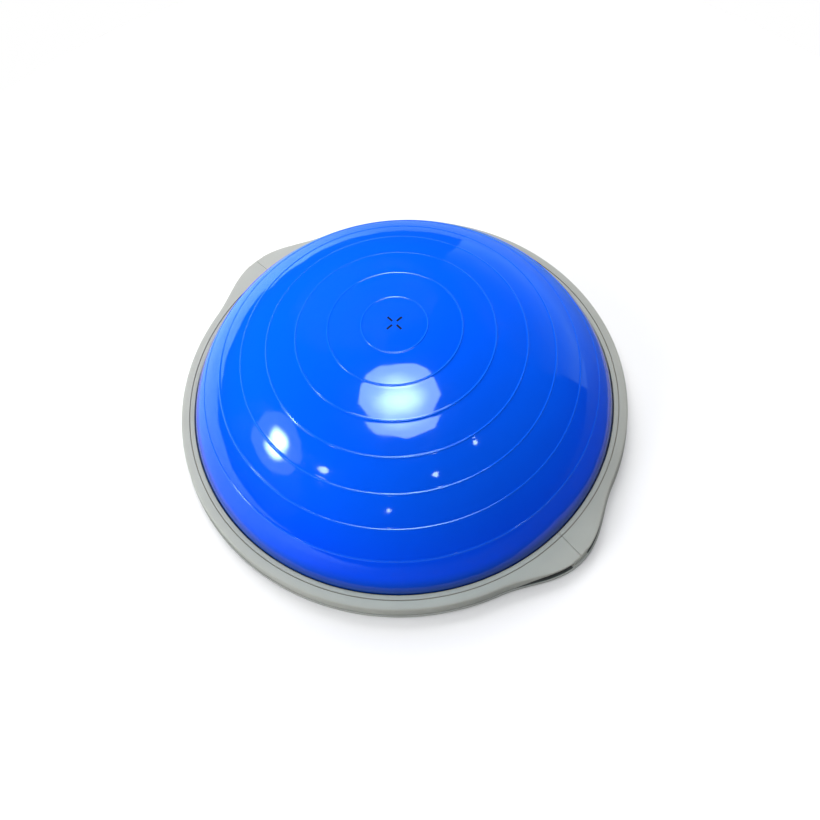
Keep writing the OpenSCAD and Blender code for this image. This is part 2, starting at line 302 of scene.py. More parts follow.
def swept(name, angles, section_at, finish, full=False, sharp=32.0):
    """A piece whose section changes with the angle about Z; open ends are capped."""
    loops = [section_at(a) for a in angles]
    size = len(loops[0])
    points = [(r * math.cos(a), r * math.sin(a), z) for a, loop in zip(angles, loops) for r, z in loop]
    faces = []
    for i in range(len(angles) if full else len(angles) - 1):
        j = (i + 1) % len(angles)
        for k in range(size):
            m = (k + 1) % size
            faces.append((i * size + k, j * size + k, j * size + m, i * size + m))
    if not full:
        faces.append(tuple(range(size)))
        faces.append(tuple(range((len(angles) - 1) * size, len(angles) * size)))
    thing = linked(name, plain_mesh(name, points, faces))
    thing.data.materials.append(finish.material)
    return cleaned(thing, sharp)


def carved(thing, cutter):
    """Cuts the cutter out of the piece and removes the cutter."""
    modifier = thing.modifiers.new("cut", "BOOLEAN")
    modifier.object = cutter
    modifier.operation = "DIFFERENCE"
    modifier.solver = "EXACT"
    seen = thing.evaluated_get(bpy.context.evaluated_depsgraph_get())
    made = bpy.data.meshes.new_from_object(seen)
    thing.modifiers.remove(modifier)
    thing.data = made
    bpy.data.objects.remove(cutter)
    return thing


def joined(name, things):
    """One piece from several meshes, which stay separate shells."""
    shape = bmesh.new()
    for thing in things:
        shape.from_mesh(thing.data)
    mesh = bpy.data.meshes.new(name)
    shape.to_mesh(mesh)
    shape.free()
    for material in things[0].data.materials:
        mesh.materials.append(material)
    for thing in things:
        bpy.data.objects.remove(thing)
    whole = linked(name, mesh)
    mesh.set_sharp_from_angle(angle=math.radians(32.0))
    return whole


def finished(thing, name, body, slot, *nodes):
    """Names the piece, hides the CAD nodes that it stands for and sets what it rides on."""
    thing.name = name
    thing.data.name = name
    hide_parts(*nodes)
    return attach(thing, body)


plate_low, plate_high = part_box("base_platform")
rim_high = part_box("rim_half_rear")[1]
plate_z = plate_low.z
plate_top = plate_high.z
plate_r = plate_high.y
rim_r = rim_high.y
handle_half = math.radians(20.0)
well_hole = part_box("valve_bezel")[1].x
post_half = 12 * MM


def swell(a, out):
    """How far an outline stands out at an angle, with a handle at 0 and at half a turn."""
    off = abs((a + math.pi / 2) % math.pi - math.pi / 2)
    return out * math.cos(math.pi / 2 * min(1.0, off / handle_half)) ** 2


def even_angles(coarse, fine, first=0.0, last=math.tau):
    """Angles from first to last, closer together where a handle swells the outline."""
    angles = [first]
    while angles[-1] < last - 1e-6:
        near = swell(angles[-1], 1.0) > 0 or swell(angles[-1] + coarse, 1.0) > 0
        angles.append(min(last, angles[-1] + (fine if near else coarse)))
    return angles


base_grey = moulded("base_grey", (0.33, 0.335, 0.31), (0.30, 0.305, 0.285))

# Painted shade: the upper face is painted dark where the rim covers it, and left plain under the posts
# and on the lip that stands out of the rim.
unshaded_lip = 1.5 * MM
bx, by, bz = base_grey.parts(base_grey.place)
base_r = (bx * bx + by * by).math("SQRT", bx * bx + by * by)
off_handle = (abs(bx) / base_r).math("ARCCOSINE", abs(bx) / base_r)
bulge = (off_handle / handle_half).math("MINIMUM", off_handle / handle_half, 1.0) * (math.pi / 2)
bulge = bulge.math("COSINE", bulge)
from_edge = plate_r + bulge * bulge * (plate_high.x - plate_r) - base_r
painted_rim_shade = (base_grey.ramp(from_edge, unshaded_lip, unshaded_lip + 0.8 * MM)
           * base_grey.ramp(abs(by), post_half + 0.5 * MM, post_half + 2 * MM)
           * base_grey.ramp(bz, plate_top - 0.4 * MM, plate_top - 0.1 * MM))
unshaded_grey = base_grey.shader.inputs["Base Color"].links[0].from_socket
base_grey.show(Base_Color=base_grey.mix(painted_rim_shade * 0.92, Wire(base_grey, unshaded_grey), (0.012, 0.012, 0.013)))


def plate_section(a):
    edge = plate_r + swell(a, plate_high.x - plate_r)
    return arc_corners([
        (well_hole, plate_z, 0.2 * MM), (edge, plate_z, 0.9 * MM), (edge, plate_top, 0.9 * MM),
        (well_hole, plate_top, 0.2 * MM)], 3)


plate = swept("plate", even_angles(math.radians(2), math.radians(1))[:-1], plate_section,
              base_grey, full=True)

# Screw holes with flat recesses, and the seats of the feet.
foot_low, foot_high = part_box("foot_pad_1")
foot_r = (foot_high.x - foot_low.x) / 2
foot_ring = math.hypot(foot_low.x + foot_r, foot_low.y + foot_r)
foot_seat_r = foot_r + 0.3 * MM
foot_seat_t = 1 * MM
foot_spots = [math.radians(22.5 + 45 * i) for i in range(8)]
foot_screw_r = 1.5 * MM
head_r = 3.6 * MM
recess_r = head_r + 0.2 * MM
recess_t = 1.6 * MM
screw_hole_r = 2.15 * MM
cut_from = -1 * MM
cut_to = 4 * MM
rim_screw_ring = (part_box("rim_screws")[1].y - head_r) / math.sin(math.radians(84))
rim_screw_spots = [math.radians(side + 24 + 12 * i) for side in (0, 180) for i in range(12)]
post_screw_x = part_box("post_screws")[1].x - head_r
post_screw_y = 7 * MM


def on_ring(angles, radius, z):
    return [(radius * math.cos(a), radius * math.sin(a), z, a) for a in angles]


post_screws_at = [(side * post_screw_x, y * post_screw_y, plate_z, 0.3 * y + side)
                  for side in (1, -1) for y in (1, -1)]
screw_cut = turned("screw_cut", [
    (0, cut_from), (recess_r, cut_from), (recess_r, recess_t), (screw_hole_r, recess_t),
    (screw_hole_r, cut_to), (0, cut_to)], base_grey, 24, ring=False)
foot_cut = turned("foot_cut", [
    (0, cut_from), (foot_seat_r, cut_from), (foot_seat_r, foot_seat_t), (foot_screw_r, foot_seat_t),
    (foot_screw_r, cut_to), (0, cut_to)], base_grey, 48, ring=False)
plate = carved(plate, placed("screw_cuts", screw_cut, on_ring(
    rim_screw_spots, rim_screw_ring, plate_z) + post_screws_at, base_grey))
plate = carved(plate, placed("foot_cuts", foot_cut, on_ring(
    foot_spots, foot_ring, plate_z), base_grey))
finished(cleaned(plate), "base_plate", "base", "base_plastic", "base_platform")

# Grip pips: low eight-sided studs in a staggered grid, clear of the feet, the well and the edge.
pip_pitch = 10 * MM
pip_r = 1.9 * MM
pip_h = 0.6 * MM
pip_root = 0.1 * MM
pip_field_r = 276 * MM
pip_rows = range(-30, 31)
pip = turned("pip", [(0, -pip_h), (pip_r * 0.6, -pip_h), (pip_r, pip_root), (0, pip_root)],
             base_grey, 8, ring=False)
pip_spots = []
for row in pip_rows:
    for item in pip_rows:
        x = (item + 0.5 * (row % 2)) * pip_pitch
        y = row * pip_pitch * math.sqrt(3) / 2
        far = math.hypot(x, y)
        feet_clear = min(math.hypot(x - spot[0], y - spot[1]) for spot in
                         on_ring(foot_spots, foot_ring, 0))
        if well_hole + 8 * MM < far < pip_field_r and feet_clear > foot_seat_r + 5 * MM:
            pip_spots.append((x, y, plate_z, 0.0))
pips = placed("grip_pips", pip, pip_spots, base_grey)
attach(pips, "base")

# ---------------------------------------------------------------- rubber feet
# Eight black moulded rubber discs with tread rings, each pressed into a shallow seat under the
# platform and held by one short zinc-plated screw in a recess in its middle.

rubber = Finish("foot_rubber", Specular_IOR_Level=0.3)
dust = rubber.ramp(rubber.noise(240.0, 5.0, 0.7), 0.5, 0.75)
rubber.show(Base_Color=rubber.mix(dust * 0.5, (0.020, 0.020, 0.022), (0.065, 0.062, 0.058)),
            Roughness=0.66 + dust * 0.2,
            Normal=rubber.bump(rubber.noise(1500.0, 2.0), 0.00005))

zinc = Finish("zinc_plate", Metallic=1.0)
cast = zinc.ramp(zinc.noise(160.0, 3.0), 0.35, 0.7)
zinc.show(Base_Color=zinc.mix(cast, (0.56, 0.57, 0.58), (0.66, 0.64, 0.58)),
          Roughness=0.28 + zinc.noise(900.0, 2.0) * 0.2,
          Normal=zinc.bump(zinc.noise(2200.0, 2.0), 0.00002))

foot_h = foot_high.z - foot_low.z
foot_recess_r = 3.9 * MM
foot_recess_z = 2.6 * MM


def foot_section():
    tread = []
    for groove_r in (7.2 * MM, 10.0 * MM, 12.8 * MM):
        for off, depth in ((-0.7, 0), (-0.45, 0.7), (0.45, 0.7), (0.7, 0)):
            tread.append((groove_r + off * MM, depth * MM, 0))
    return arc_corners([(foot_recess_r, 0, 0.5 * MM)] + tread + [
        (foot_r, 0, 1.3 * MM), (foot_r, foot_h, 0.3 * MM), (foot_screw_r, foot_h, 0.2 * MM),
        (foot_screw_r, foot_recess_z, 0.2 * MM), (foot_recess_r, foot_recess_z, 0.3 * MM)], 3)


for i, a in enumerate(foot_spots):
    disc = turned("foot_disc", foot_section(), rubber, 64)
    foot = placed("foot", disc, on_ring([a], foot_ring, 0.0), rubber)
    finished(foot, f"foot_{i + 1}", "base", "foot_rubber", f"foot_pad_{i + 1}")


def block(name, xs, ys, zs):
    """A plain closed block between two x, two y and two z."""
    return linked(name, plain_mesh(
        name, [(x, y, z) for x in xs for y in ys for z in zs],
        [(0, 1, 3, 2), (4, 6, 7, 5), (0, 4, 5, 1), (2, 3, 7, 6), (0, 2, 6, 4), (1, 5, 7, 3)]))


def screw_part(length):
    """A pan-head screw standing on its head, with a cross recess and thread rings."""
    round_r = 3.55 * MM
    head_t = 1.6 * MM
    root_r = 1.20 * MM
    crest_r = 1.44 * MM
    thread_pitch = 0.9 * MM
    spare = 0.02 * MM
    thread = []
    z = head_t + 1.2 * MM
    while z < length - 2.2 * MM:
        thread += [(root_r, z), (crest_r, z + thread_pitch / 2)]
        z += thread_pitch
    section = arc_corners([(0, spare, 0), (round_r, spare, 0.9 * MM), (round_r, head_t, 0.25 * MM)], 4)
    section += [(crest_r - spare, head_t), *thread, (0.9 * MM, length - 0.6 * MM), (0, length - spare)]
    shank = turned("screw", section, zinc, 32, ring=False)
    arm_long = 2.0 * MM
    arm_thin = 0.4 * MM
    arm_depth = 0.95 * MM
    for wide, deep in ((arm_long, arm_thin), (arm_thin, arm_long)):
        arm = block("arm", (-wide, wide), (-deep, deep), (cut_from, arm_depth))
        shank = carved(shank, cleaned(arm))
    return shank


screws_low, screws_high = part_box("foot_screws")
foot_screws = placed("foot_screw_set", screw_part(screws_high.z - screws_low.z),
                     on_ring(foot_spots, foot_ring, screws_low.z), zinc)
finished(foot_screws, "foot_screw_set", "base", "screw_steel", "foot_screws")

# ---------------------------------------------------------------- support tray
# The dark ribbed tray between the plate and the bladder, moulded from recycled polypropylene. The
# foot screws hold it, its ribs carry the bladder's floor, and its upright wall stops the flange.

tray_grey = moulded("tray_grey", (0.060, 0.062, 0.064), (0.050, 0.052, 0.055), rough=0.55)
tray_low, tray_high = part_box("support_tray")
floor_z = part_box("bladder_floor")[0].z
tray_r = tray_high.x
web_t = 1.2 * MM
rib_t = 2.5 * MM
wall_t = 2.6 * MM
first_ring = well_hole + rib_t / 2
edge_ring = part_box("bladder_floor")[1].x - 5 * MM
last_ring = edge_ring - 17 * MM
ring_count = 6
spoke_count = 16
spoke_drop = 0.5 * MM
foot_boss_r = 5 * MM
foot_boss_h = 6.4 * MM
tray = turned("tray", arc_corners([
    (well_hole, tray_low.z, 0.2 * MM), (tray_r, tray_low.z, 0.3 * MM),
    (tray_r, tray_high.z, 0.4 * MM), (tray_r - wall_t, tray_high.z, 0.4 * MM),
    (tray_r - wall_t, tray_low.z + web_t, 0.8 * MM),
    (well_hole + rib_t, tray_low.z + web_t, 0.8 * MM), (well_hole + rib_t, floor_z, 0.4 * MM),
    (well_hole, floor_z, 0.4 * MM)], 2), tray_grey, 160)
tray_parts = [tray]
rib_root = tray_low.z + web_t / 2
for k in range(1, ring_count + 1):
    step = (last_ring - first_ring) / (ring_count - 1)
    r = edge_ring if k == ring_count else first_ring + k * step
    tray_parts.append(turned("rib_ring", arc_corners([
        (r - rib_t / 2, rib_root, 0), (r + rib_t / 2, rib_root, 0), (r + rib_t / 2, floor_z, 0.4 * MM),
        (r - rib_t / 2, floor_z, 0.4 * MM)], 2), tray_grey, 128))
spoke_end = tray_r - wall_t / 2
spoke = block("spoke", (first_ring, spoke_end), (-rib_t / 2, rib_t / 2),
              (rib_root, floor_z - spoke_drop))
tray_parts.append(placed("spokes", spoke, [
    (0, 0, 0, math.tau * (i + 0.5) / spoke_count) for i in range(spoke_count)], tray_grey))
foot_boss = turned("foot_boss", arc_corners([
    (foot_screw_r, 0, 0), (foot_boss_r, 0, 0), (foot_boss_r, foot_boss_h, 0.5 * MM),
    (foot_screw_r, foot_boss_h, 0.3 * MM)], 2), tray_grey, 24)
tray_parts.append(placed("foot_bosses", foot_boss, on_ring(foot_spots, foot_ring, rib_root),
                         tray_grey))
finished(joined("ribbed_tray", tray_parts), "ribbed_tray", "base", "base_plastic", "support_tray")

# ---------------------------------------------------------------- valve bezel
# The ring that lines the well, moulded in the plate's grey and pressed into it from above. Its
# flange lies flush with the plate's underside, and its wall reaches up to the bladder's floor.

bezel_low, bezel_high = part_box("valve_bezel")
well_r = 26 * MM
bezel_t = 2.5 * MM
bezel = turned("well_bezel", arc_corners([
    (well_r, bezel_low.z, 1.2 * MM), (well_r + 9 * MM, bezel_low.z, 0.2 * MM),
    (well_r + 9.4 * MM, bezel_low.z + 0.4 * MM, 0.1 * MM),
    (well_r + 10 * MM, bezel_low.z + 0.4 * MM, 0.1 * MM), (well_r + 10.4 * MM, bezel_low.z, 0.2 * MM),
    (bezel_high.x, bezel_low.z, 0.4 * MM), (bezel_high.x, plate_top, 0.2 * MM),
    (well_r + bezel_t, plate_top, 0.8 * MM), (well_r + bezel_t, bezel_high.z, 0.4 * MM),
    (well_r, bezel_high.z, 0.4 * MM)], 3), base_grey, 96)
finished(bezel, "well_bezel", "base", "base_plastic", "valve_bezel")

# ---------------------------------------------------------------- bladder floor and valve seat
# The flat sheet that closes the bladder, cut from blue PVC and welded to the dome's flange, and
# the black moulded collar welded into its middle, with the air hole through it.

membrane_blue = Finish("membrane_blue", Specular_IOR_Level=0.4)
weave = membrane_blue.node("ShaderNodeTexWave", {"wave_type": "BANDS", "bands_direction": "DIAGONAL"},
                           {"Vector": membrane_blue.place, "Scale": 260.0, "Distortion": 1.5})
membrane_blue.show(Base_Color=membrane_blue.mix(membrane_blue.noise(30.0), (0.0, 0.055, 0.62),
                                                (0.0, 0.075, 0.75)),
                   Roughness=0.42 + weave * 0.1, Normal=membrane_blue.bump(weave, 0.00008))

sheet_low, sheet_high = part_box("bladder_floor")
seat_low, seat_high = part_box("valve_seat")
seat_neck_r = 9 * MM
floor_sheet = turned("bladder_floor_sheet", arc_corners([
    (seat_neck_r, sheet_low.z, 0.2 * MM), (sheet_high.x, sheet_low.z, 0.8 * MM),
    (sheet_high.x, sheet_high.z, 0.8 * MM), (seat_neck_r, sheet_high.z, 0.2 * MM)]),
    membrane_blue, 192)
finished(floor_sheet, "bladder_floor_sheet", "base", "dome_pvc", "bladder_floor")

seat_black = Finish("seat_black", Specular_IOR_Level=0.45)
seat_black.show(Base_Color=seat_black.mix(seat_black.noise(200.0), (0.018, 0.019, 0.021),
                                          (0.034, 0.035, 0.038)),
                Roughness=0.4 + seat_black.noise(700.0) * 0.2,
                Normal=seat_black.bump(seat_black.noise(1600.0), 0.00004))
air_r = 4.05 * MM
seat = turned("valve_collar", arc_corners([
    (air_r, seat_low.z, 0.5 * MM), (seat_neck_r, seat_low.z, 0.8 * MM),
    (seat_neck_r, sheet_high.z, 0.1 * MM), (seat_high.x, sheet_high.z, 0.2 * MM),
    (seat_high.x, sheet_high.z + 1.2 * MM, 0.5 * MM), (seat_neck_r + 2 * MM, seat_high.z, 0.8 * MM),
    (air_r, seat_high.z, 0.4 * MM)]), seat_black, 64)
finished(seat, "valve_collar", "base", "valve_rubber", "valve_seat")

# ---------------------------------------------------------------- dome skin
# The soft half-ball that the user stands on: one skin of glossy blue PVC, slush-moulded with
# seven fine raised ridges and a flat flange, then welded to the floor sheet and blown up.

dome_low, dome_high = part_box("dome_bladder")
flange_r = dome_high.x
neck_r = flange_r - 7.4 * MM
crown_z = dome_high.z
skin_t = 3 * MM
flange_top = dome_low.z + skin_t
weld_w = 12 * MM
dome_swell = 3.4 * MM
dome_a = neck_r + dome_swell
dome_h = crown_z - plate_z
round_p = 2.08
round_q = 1.71
ridge_pitch = 42 * MM
ridge_h = 0.65 * MM
ridge_w = 1.25 * MM
ridge_sag = 0.25 * MM
ridges_at = [ridge_pitch * k - 2 * MM for k in range(1, 8)]


def dome_point(t, inset=0.0):
    """Point of the dome's section at angle t from the crown: a superellipse."""
    return Vector(((dome_a - inset) * math.sin(t) ** (2 / round_p),
                   plate_z + (dome_h - inset) * max(0.0, math.cos(t)) ** (2 / round_q)))


def dome_end(r, inset=0.0):
    return math.asin((r / (dome_a - inset)) ** (round_p / 2))


def sag(way):
    """How far the ridges pull the blown-up skin in: nothing halfway between two ridges."""
    if way < ridges_at[0]:
        return ridge_sag * (way / ridges_at[0]) ** 2
    if way > ridges_at[-1]:
        return ridge_sag * max(0.0, 1 - (way - ridges_at[-1]) / ridge_pitch) ** 2
    share = (way - ridges_at[0]) / ridge_pitch % 1.0
    return ridge_sag * (1 - math.sin(math.pi * share))


def skin_section():
    """Outer side from the crown to the flange with its ridges, then the inner side back."""
    end = dome_end(neck_r)
    way = 0.0
    walked = []
    last = dome_point(0.0)
    for k in range(2001):
        here = dome_point(end * k / 2000)
        way += (here - last).length
        walked.append((way, here))
        last = here
    stride = 3.2 * MM
    stops = [k * stride for k in range(1, int(way / stride))]
    stops = [s for s in stops if min(abs(s - ridge) for ridge in ridges_at) > ridge_w * 1.2]
    stops += [ridge + ridge_w * f / 4 for ridge in ridges_at for f in range(-4, 5)]
    stops = sorted(s for s in stops if s < way - 0.5 * MM)
    section = [(0.0, crown_z)]
    place_in = 0
    for stop in stops:
        while walked[place_in + 1][0] < stop:
            place_in += 1
        low, high = walked[place_in], walked[place_in + 1]
        share = (stop - low[0]) / (high[0] - low[0])
        point = low[1].lerp(high[1], share)
        along = (high[1] - low[1]).normalized()
        off = min(abs(stop - ridge) for ridge in ridges_at)
        lift = ridge_h * math.cos(math.pi / 2 * min(1.0, off / ridge_w)) ** 2 - sag(stop)
        point = point + Vector((-along.y, along.x)) * lift
        section.append(tuple(point))
    neck = dome_point(end)
    inner_r = neck_r - skin_t
    section += arc_corners([
        (neck.x, neck.y, 0), (neck_r, flange_top, 0.4 * MM), (flange_r, flange_top, 0.8 * MM),
        (flange_r, dome_low.z, 0.8 * MM), (neck_r - weld_w, dome_low.z, 0.4 * MM),
        (neck_r - weld_w, flange_top, 0.8 * MM), (inner_r, flange_top, 0.8 * MM)], 3)
    inner_end = dome_end(inner_r, skin_t)
    section += [tuple(dome_point(inner_end * k / 40, skin_t)) for k in range(40, 0, -1)]
    return section + [(0.0, crown_z - skin_t)]


def ridge_radii():
    """Radius of each ridge, found by walking over the skin from the crown."""
    radii = []
    way = 0.0
    last = dome_point(0.0)
    for k in range(1, 4001):
        here = dome_point(dome_end(neck_r) * k / 4000)
        way += (here - last).length
        if len(radii) < len(ridges_at) and way >= ridges_at[len(radii)]:
            radii.append(here.x)
        last = here
    return radii


dome_blue = Finish("dome_blue", Specular_IOR_Level=0.7)
px, py, pz = dome_blue.parts(dome_blue.place)
ridge_edge = 1.5 * MM
pale_from = 50 * MM
pale_to = 150 * MM
foot_dark = 26 * MM
foot_clear = 54 * MM
gap_dark = 22.5 * MM
gap_clear = 28.5 * MM
radius = (px * px + py * py).math("SQRT", px * px + py * py)
painted_ridge_highlight = None
for ridge_r in ridge_radii():
    near = dome_blue.ramp(abs(radius - ridge_r), ridge_edge / 3, ridge_edge, 1.0, 0.0)
    painted_ridge_highlight = near if painted_ridge_highlight is None else painted_ridge_highlight + near
cloud = dome_blue.noise(7.0, 2.0)
mottle = dome_blue.noise(55.0, 3.0)
colour = dome_blue.mix(dome_blue.ramp(cloud, 0.3, 0.7), (0.0, 0.058, 0.84), (0.0, 0.066, 0.88))

# Painted light: the skin is painted paler towards the crown, lighter on top where the light falls.
colour = dome_blue.mix(dome_blue.ramp(pz, pale_from, pale_to), colour, (0.0, 0.106, 0.97))
colour = dome_blue.mix(mottle * 0.08, colour, (0.0, 0.07, 0.8))
# Painted highlight: the ridges are painted lighter, as if they caught the light.
colour = dome_blue.mix(painted_ridge_highlight * 0.2, colour, (0.02, 0.22, 1.0))
# Painted shade: the skin is painted darker, down to navy, low down where it goes behind the rim's lip,
# and darkest in the gap under the lip.
painted_foot_shade = dome_blue.ramp(pz, foot_dark, foot_clear, 0.9, 0.0)
colour = dome_blue.mix(painted_foot_shade, colour, (0.0, 0.040, 0.22))
painted_gap_shade = dome_blue.ramp(pz, gap_dark, gap_clear, 0.9, 0.0)
colour = dome_blue.mix(painted_gap_shade, colour, (0.0, 0.010, 0.10))

# Printed centre mark: four short black dashes round the crown.
ax = abs(px)
ay = abs(py)
thin = 1.1 * MM
dash_from = 3.6 * MM
dash_to = 12.0 * MM
dash_fade = 0.4 * MM


def dash(along, across):
    return (dome_blue.ramp(across, thin, thin + 0.3 * MM, 1.0, 0.0)
            * dome_blue.ramp(along, dash_from, dash_from + dash_fade)
            * dome_blue.ramp(along, dash_to, dash_to + dash_fade, 1.0, 0.0))


mark = dash(ax, ay) + dash(ay, ax)
colour = dome_blue.mix(mark, colour, (0.006, 0.007, 0.012))
wipe = dome_blue.ramp(dome_blue.noise(26.0, 4.0, 0.65), 0.52, 0.7)
ripple = dome_blue.noise(24.0, 1.0)
dome_blue.show(Base_Color=colour,
               Roughness=0.06 + wipe * 0.04 + mark * 0.2,
               Normal=dome_blue.bump(ripple, 0.7 * MM, dome_blue.bump(mottle, 0.02 * MM)))
dome = turned("dome_skin", skin_section(), dome_blue, 256, ring=False, sharp=50.0)
finished(dome, "dome_skin", "base", "dome_pvc", "dome_bladder")
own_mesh(dome)

# ---------------------------------------------------------------- rim halves
# The clamping ring that holds the flange down, moulded in grey polypropylene in two halves that
# meet at a fine seam on each handle. A thin groove runs round the lip, the top falls gently
# outwards and rounds over into the side wall, which opens into two finger slots at each handle.

rim_grey = moulded("rim_grey", (0.362, 0.366, 0.334), (0.338, 0.342, 0.311))
lip_r = neck_r + 0.8 * MM
groove_r = lip_r + 6.4 * MM
groove_w = 1.2 * MM
pocket_r = tray_r + 0.3 * MM
rim_wall = 3 * MM
rim_fall = 6 * MM
handle_out = rim_high.x - rim_r
slot_half = 84 * MM
slot_full = 44 * MM
slot_top = rim_high.z - rim_fall - rim_wall + 0.7 * MM
edge_flat = 5.6 * MM
seam_bevel = 0.45 * MM
boss_r = 3.5 * MM
boss_bore = 1.5 * MM
post_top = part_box("handle_post_right")[1].z
post_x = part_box("handle_post_right")[0].x

# Fine dirt and shade gather in the groove.
gx, gy, gz = rim_grey.parts(rim_grey.place)
ring_r = (gx * gx + gy * gy).math("SQRT", gx * gx + gy * gy)
in_groove = (rim_grey.ramp(abs(ring_r - groove_r), 0.3 * MM, 0.9 * MM, 1.0, 0.0)
             * rim_grey.ramp(gz, rim_high.z - 0.5 * MM, rim_high.z - 0.1 * MM, 1.0, 0.0))
plain = rim_grey.shader.inputs["Base Color"].links[0].from_socket
rim_grey.show(Base_Color=rim_grey.mix(in_groove * 0.8, Wire(rim_grey, plain), (0.14, 0.115, 0.08)))


def rim_z(r):
    """Height of the rim's top face at radius r."""
    return rim_high.z - rim_fall * max(0.0, r - groove_r) / (rim_high.x - groove_r)


def slot_edge(y):
    """Height of the side wall's lower edge at a distance y from the handle's middle."""
    y = abs(y)
    if y <= post_half:
        return post_top
    if y >= slot_half:
        return plate_top
    share = (slot_half - y) / (slot_half - slot_full)
    return plate_top + (slot_top - plate_top) * math.sin(math.pi / 2 * min(1.0, share)) ** 1.3


def rim_section(a, bevel=0.0):
    edge = rim_r + swell(a, handle_out) - bevel
    y = edge * math.sin(a)
    near_handle = abs(math.cos(a)) > 0.7
    low = slot_edge(y) if near_handle else plate_top
    in_post = near_handle and abs(y) <= post_half
    wall_in = (post_x / abs(math.cos(a)) if in_post else edge - rim_wall)
    top = rim_z(edge) - bevel
    lip_top = rim_high.z - bevel
    return arc_corners([
        (lip_r + bevel, flange_top, 0.3 * MM), (lip_r + bevel, lip_top, 0.9 * MM),
        (groove_r - groove_w / 2, lip_top, 0.3 * MM),
        (groove_r - groove_w / 2, lip_top - groove_w, 0.2 * MM),
        (groove_r + groove_w / 2, lip_top - groove_w, 0.2 * MM),
        (groove_r + groove_w / 2, lip_top, 0.3 * MM),
        (edge - edge_flat, rim_z(edge - edge_flat) - bevel, 0),
        (edge, top, 5.0 * MM), (edge, low, 0.7 * MM), (wall_in, low, 0.4 * MM),
        (wall_in, rim_z(wall_in) - rim_wall, 0.6 * MM),
        (pocket_r, rim_z(pocket_r) - rim_wall, 0.6 * MM), (pocket_r, flange_top, 0.3 * MM)], 4)


def rim_angles():
    """Angles of one half from seam to seam, with close pairs at the post's sides."""
    seam = 0.15 * MM / rim_high.x
    sides = [math.asin(post_half / rim_high.x) + s for s in (-0.0004, 0.0004)]
    inner = even_angles(math.radians(1.25), math.radians(0.5), seam, math.pi - seam)[1:-1]
    inner = [a for a in inner if min(abs(a - s) for s in sides) > 0.001
             and min(abs(math.pi - a - s) for s in sides) > 0.001]
    bevel_at = seam + 0.5 * MM / rim_high.x
    return sorted([seam, bevel_at] + inner + sides + [math.pi - s for s in sides]
                  + [math.pi - bevel_at, math.pi - seam])


half_angles = rim_angles()
boss_low = plate_top + 0.05 * MM
boss_high = rim_z(rim_screw_ring) - 2 * MM


def end_bevel(a):
    """The section shrinks by a small bevel at each end of a half, along the seams."""
    to_end = min(abs(a - half_angles[0]), abs(a - half_angles[-1]))
    return seam_bevel if to_end < 1e-9 else 0.0


for name, node, turn in (("rim_rear", "rim_half_rear", 0.0),
                         ("rim_front", "rim_half_front", math.pi)):
    half = swept(name, [a + turn for a in half_angles],
                 lambda a: rim_section(a, end_bevel(a - turn)), rim_grey)
    boss = turned("screw_boss", arc_corners([
        (boss_bore, boss_low, 0.2 * MM), (boss_r, boss_low, 0.2 * MM), (boss_r, boss_high, 0),
        (boss_bore, boss_high, 0)], 2), rim_grey, 24)
    bosses = placed("screw_bosses", boss, on_ring(
        [a for a in rim_screw_spots if (a > math.pi) == (turn > 0)], rim_screw_ring, 0.0), rim_grey)
    finished(joined(name, [half, bosses]), name, "base", "rim_plastic", node)

# ---------------------------------------------------------------- handle posts
# One moulded block at each handle, between the two slots. It joins the ends of the rim halves to
# the platform and takes a resistance band's loop. Two long screws go up through it.

post_inset = 0.5 * MM
post_side = post_half * 0.995
post_gap = 0.02 * MM
post_back = 0.1 * MM

for name, node, turn in (("post_right", "handle_post_right", 0.0),
                         ("post_left", "handle_post_left", math.pi)):
    low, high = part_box("handle_post_right")
    face = []
    for k in range(9):
        y = post_side * (1 - k / 4)
        a = math.asin(y / rim_high.x)
        r = rim_r + swell(a, handle_out) - post_inset
        face.append((r * math.cos(a), y))
    plan = [(low.x + post_back, -post_side), *reversed(face), (low.x + post_back, post_side)]
    ring = [(x * math.cos(turn) - y * math.sin(turn), x * math.sin(turn) + y * math.cos(turn))
            for x, y in plan]
    size = len(ring)
    points = [(x, y, z) for z in (low.z + post_gap, high.z - post_gap) for x, y in ring]
    faces = [tuple(range(size))[::-1], tuple(range(size, 2 * size))]
    faces += [(k, (k + 1) % size, size + (k + 1) % size, size + k) for k in range(size)]
    post = linked(name, plain_mesh(name, points, faces))
    post.data.materials.append(rim_grey.material)
    shape = bmesh.new()
    shape.from_mesh(post.data)
    sharp = [e for e in shape.edges if e.calc_face_angle(0.0) > math.radians(40)]
    bmesh.ops.bevel(shape, geom=sharp, offset=0.7 * MM, segments=3, profile=0.5, affect="EDGES")
    shape.to_mesh(post.data)
    shape.free()
    finished(cleaned(post), name, "base", "rim_plastic", node)

# ---------------------------------------------------------------- screws of the rim and posts
# Zinc-plated pan-head screws, driven from below: 24 clamp the rim on the flange, and two longer
# ones at each handle go through the post into both rim halves.

for name, node, spots in (
        ("rim_screw_set", "rim_screws", on_ring(rim_screw_spots, rim_screw_ring, plate_z)),
        ("post_screw_set", "post_screws", post_screws_at)):
    low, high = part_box(node)
    screws = placed(name, screw_part(high.z - low.z), spots, zinc)
    finished(screws, name, "base", "screw_steel", node)

# ---------------------------------------------------------------- valve plug
# A white push-in plug. Its head stands in the well with a thin edge to pull on, and its stem
# closes the air hole.

